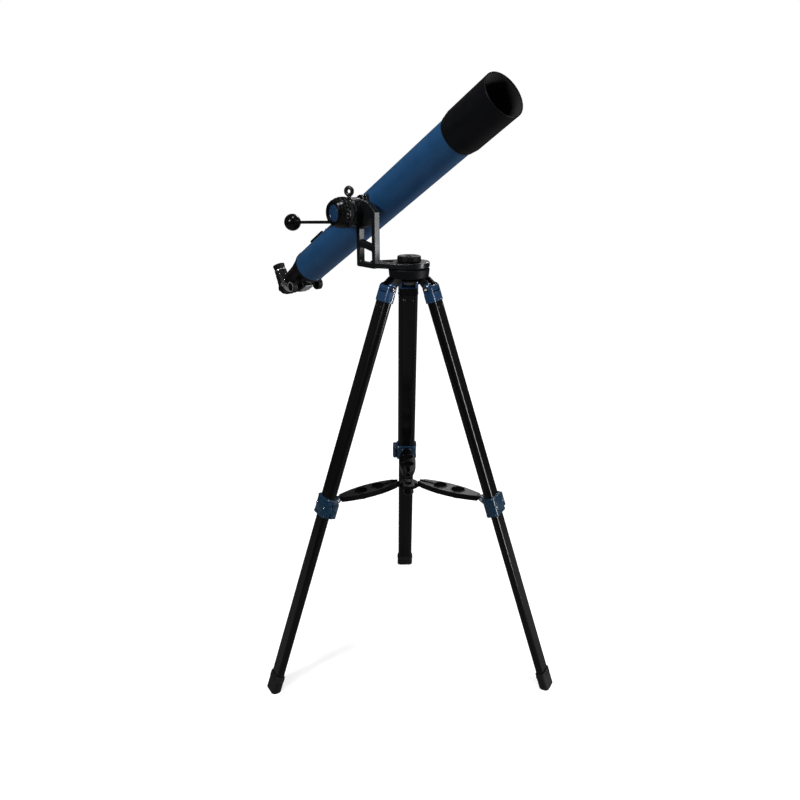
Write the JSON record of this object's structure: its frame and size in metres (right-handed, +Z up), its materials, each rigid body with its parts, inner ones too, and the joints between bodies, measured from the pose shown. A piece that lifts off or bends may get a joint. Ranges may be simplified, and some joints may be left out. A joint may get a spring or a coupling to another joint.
{
  "type": "refractor telescope",
  "caption": "Small refractor telescope on a single-arm altazimuth mount with a folding aluminium tripod, leaf-armed tray, rack focuser, star diagonal and eyepiece.",
  "frame": {"origin": "on the floor under the azimuth axis, in the plane of the three feet", "axes": "+Z up along the azimuth axis, +X the heading of the tube, -Y the side of the altitude knob"},
  "size_m": [0.9905, 0.6965, 1.4559],
  "materials": {
    "tube_blue": "satin",
    "tube_black": "satin",
    "leg_black": "gloss",
    "arm_gunmetal": "satin",
    "blue_plastic": "gloss",
    "black_plastic": "satin",
    "rubber_black": "matte",
    "bright_steel": "satin",
    "chrome": "polished",
    "silver_aluminium": "satin",
    "coated_glass": "polished",
    "mirror_glass": "polished",
    "brass": "satin"
  },
  "bodies": {
    "tripod": {"tripod_hub": "tube_black", "leg_pivot_bolts": "bright_steel", "azimuth_spindle": "bright_steel", "azimuth_thrust_washer": "black_plastic"},
    "azimuth_knob": {"azimuth_knob": "black_plastic"},
    "arm": {"mount_arm": "arm_gunmetal", "altitude_housing": "arm_gunmetal"},
    "altitude_lock_screw": {"altitude_lock_screw": "bright_steel"},
    "cradle": {"altitude_shaft": "bright_steel", "dovetail_saddle": "arm_gunmetal", "pan_handle_rod": "tube_black", "pan_handle_ball": "black_plastic"},
    "altitude_knob": {"altitude_knob": "black_plastic", "altitude_knob_cap": "blue_plastic"},
    "dovetail_clamp_screw": {"dovetail_clamp_screw": "black_plastic"},
    "tube": {"main_tube": "tube_blue", "dovetail_bar": "silver_aluminium", "objective_cell": "tube_black", "flint_lens": "coated_glass", "crown_lens": "coated_glass", "lens_retaining_ring": "tube_black", "dew_shield": "tube_black", "tube_baffles": "tube_black", "finder_shoe": "black_plastic", "finder_nuts": "bright_steel", "focuser_housing": "black_plastic", "pinion_cover": "silver_aluminium"},
    "drawtube": {"drawtube": "chrome", "drive_rack": "brass"},
    "focus_shaft": {"focus_pinion": "brass", "focus_knobs": "black_plastic"},
    "diagonal": {"diagonal_body": "black_plastic", "diagonal_mirror": "mirror_glass"},
    "diagonal_lock_screw": {"diagonal_lock_screw": "bright_steel"},
    "eyepiece": {"eyepiece_barrel": "chrome", "eyepiece_lenses": "coated_glass", "eyecup": "rubber_black"},
    "eyepiece_lock_screw": {"eyepiece_lock_screw": "bright_steel"},
    "leg_a": {"leg_bracket_a": "blue_plastic", "upper_leg_a": "leg_black", "clamp_collar_a": "blue_plastic"},
    "lower_leg_a": {"lower_leg_a": "leg_black", "foot_a": "rubber_black"},
    "clamp_lever_a": {"clamp_lever_a": "black_plastic"},
    "tray_arm_a": {"tray_arm_a": "black_plastic"},
    "leg_b": {"leg_bracket_b": "blue_plastic", "upper_leg_b": "leg_black", "clamp_collar_b": "blue_plastic"},
    "lower_leg_b": {"lower_leg_b": "leg_black", "foot_b": "rubber_black"},
    "clamp_lever_b": {"clamp_lever_b": "black_plastic"},
    "tray_arm_b": {"tray_arm_b": "black_plastic"},
    "leg_c": {"leg_bracket_c": "blue_plastic", "upper_leg_c": "leg_black", "clamp_collar_c": "blue_plastic"},
    "lower_leg_c": {"lower_leg_c": "leg_black", "foot_c": "rubber_black"},
    "clamp_lever_c": {"clamp_lever_c": "black_plastic"},
    "tray_arm_c": {"tray_arm_c": "black_plastic"},
    "tray_hub": {"tray_hub": "black_plastic"}
  },
  "joints": [
    {"name": "azimuth_turn", "type": "hinge", "parent": "tripod", "child": "arm", "pos_m": [0, 0, 1.045], "axis": [0, 0, 1], "continuous": true},
    {"name": "azimuth_knob_turn", "type": "hinge", "parent": "tripod", "child": "azimuth_knob", "pos_m": [0, 0, 1.0588], "axis": [0, 0, 1], "continuous": true},
    {"name": "altitude_tilt", "type": "hinge", "parent": "arm", "child": "cradle", "pos_m": [-0.11, 0, 1.171], "axis": [0, -1, 0], "range_deg": [-45.7, 34.3]},
    {"name": "altitude_knob_turn", "type": "hinge", "parent": "cradle", "child": "altitude_knob", "pos_m": [-0.11, -0.12, 1.171], "axis": [0, -1, 0], "continuous": true},
    {"name": "altitude_lock_turn", "type": "hinge", "parent": "arm", "child": "altitude_lock_screw", "pos_m": [-0.11, -0.091, 1.2], "axis": [0, 0, 1], "continuous": true},
    {"name": "tube_slide", "type": "slide", "parent": "cradle", "child": "tube", "axis": [0.8599, 0, 0.5105], "range_m": [-0.012, 0.012]},
    {"name": "dovetail_clamp_turn", "type": "hinge", "parent": "cradle", "child": "dovetail_clamp_screw", "pos_m": [-0.11459, -0.048, 1.17874], "axis": [-0.5105, 0, 0.8599], "continuous": true},
    {"name": "drawtube_slide", "type": "slide", "parent": "tube", "child": "drawtube", "axis": [-0.8599, 0, -0.5105], "range_m": [-0.007, 0.045]},
    {"name": "focus_turn", "type": "hinge", "parent": "tube", "child": "focus_shaft", "pos_m": [-0.44341, 0, 0.94513], "axis": [0, -1, 0], "range_deg": [-68, 431]},
    {"name": "diagonal_turn", "type": "hinge", "parent": "drawtube", "child": "diagonal", "pos_m": [-0.54108, -0.0015, 0.92551], "axis": [0.8599, 0, 0.5105], "continuous": true},
    {"name": "diagonal_lock_turn", "type": "hinge", "parent": "drawtube", "child": "diagonal_lock_screw", "pos_m": [-0.51529, -0.0015, 0.94083], "axis": [0, -1, 0], "continuous": true},
    {"name": "eyepiece_slide", "type": "slide", "parent": "diagonal", "child": "eyepiece", "axis": [-0.5105, 0, 0.8599], "range_m": [0, 0.01]},
    {"name": "eyepiece_lock_turn", "type": "hinge", "parent": "diagonal", "child": "eyepiece_lock_screw", "pos_m": [-0.55742, -0.0015, 0.95302], "axis": [0.8599, 0, 0.5105], "continuous": true},
    {"name": "leg_a_fold", "type": "hinge", "parent": "tripod", "child": "leg_a", "pos_m": [0.05561, 0.02002, 1], "axis": [-0.3387, 0.9409, 0], "range_deg": [0, 12.05]},
    {"name": "leg_b_fold", "type": "hinge", "parent": "tripod", "child": "leg_b", "pos_m": [-0.04514, 0.03815, 1], "axis": [-0.6455, -0.7638, 0], "range_deg": [0, 12.05]},
    {"name": "leg_c_fold", "type": "hinge", "parent": "tripod", "child": "leg_c", "pos_m": [-0.01047, -0.05817, 1], "axis": [0.9842, -0.1771, 0], "range_deg": [0, 12.05]},
    {"name": "lower_leg_a_slide", "type": "slide", "parent": "leg_a", "child": "lower_leg_a", "axis": [-0.3072, -0.1106, 0.9452], "range_m": [0, 0.39]},
    {"name": "lower_leg_b_slide", "type": "slide", "parent": "leg_b", "child": "lower_leg_b", "axis": [0.2494, -0.2107, 0.9452], "range_m": [0, 0.39]},
    {"name": "lower_leg_c_slide", "type": "slide", "parent": "leg_c", "child": "lower_leg_c", "axis": [0.0578, 0.3213, 0.9452], "range_m": [0, 0.39]},
    {"name": "clamp_lever_a_open", "type": "hinge", "parent": "leg_a", "child": "clamp_lever_a", "pos_m": [0.22227, 0.11616, 0.47929], "axis": [0.3072, 0.1106, -0.9452], "range_deg": [0, 100]},
    {"name": "clamp_lever_b_open", "type": "hinge", "parent": "leg_b", "child": "clamp_lever_b", "pos_m": [-0.21173, 0.13441, 0.47929], "axis": [-0.2494, 0.2107, -0.9452], "range_deg": [0, 100]},
    {"name": "clamp_lever_c_open", "type": "hinge", "parent": "leg_c", "child": "clamp_lever_c", "pos_m": [-0.01054, -0.25057, 0.47929], "axis": [-0.0578, -0.3213, -0.9452], "range_deg": [0, 100]},
    {"name": "tray_arm_a_fold", "type": "hinge", "parent": "leg_a", "child": "tray_arm_a", "pos_m": [0.19845, 0.07145, 0.48695], "axis": [-0.3387, 0.9409, 0], "range_deg": [0, 55.5]},
    {"name": "tray_arm_b_fold", "type": "hinge", "parent": "leg_b", "child": "tray_arm_b", "pos_m": [-0.1611, 0.13614, 0.48695], "axis": [-0.6455, -0.7638, 0], "range_deg": [0, 55.5]},
    {"name": "tray_arm_c_fold", "type": "hinge", "parent": "leg_c", "child": "tray_arm_c", "pos_m": [-0.03735, -0.20758, 0.48695], "axis": [0.9842, -0.1771, 0], "range_deg": [0, 55.5]},
    {"name": "tray_hub_rise", "type": "slide", "parent": "tripod", "child": "tray_hub", "axis": [0, 0, 1], "range_m": [0, 0.1406]}
  ],
  "couplings": [
    {"joint": "focus_turn", "follows": "drawtube_slide", "rad_per_m": 166.67},
    {"joint": "leg_b_fold", "follows": "leg_a_fold", "ratio": 1},
    {"joint": "leg_c_fold", "follows": "leg_a_fold", "ratio": 1},
    {"joint": "tray_arm_a_fold", "follows": "leg_a_fold", "ratio": 4.5728},
    {"joint": "tray_arm_b_fold", "follows": "leg_a_fold", "ratio": 4.5728},
    {"joint": "tray_arm_c_fold", "follows": "leg_a_fold", "ratio": 4.5728},
    {"joint": "tray_hub_rise", "follows": "leg_a_fold", "m_per_rad": 0.66487}
  ]
}
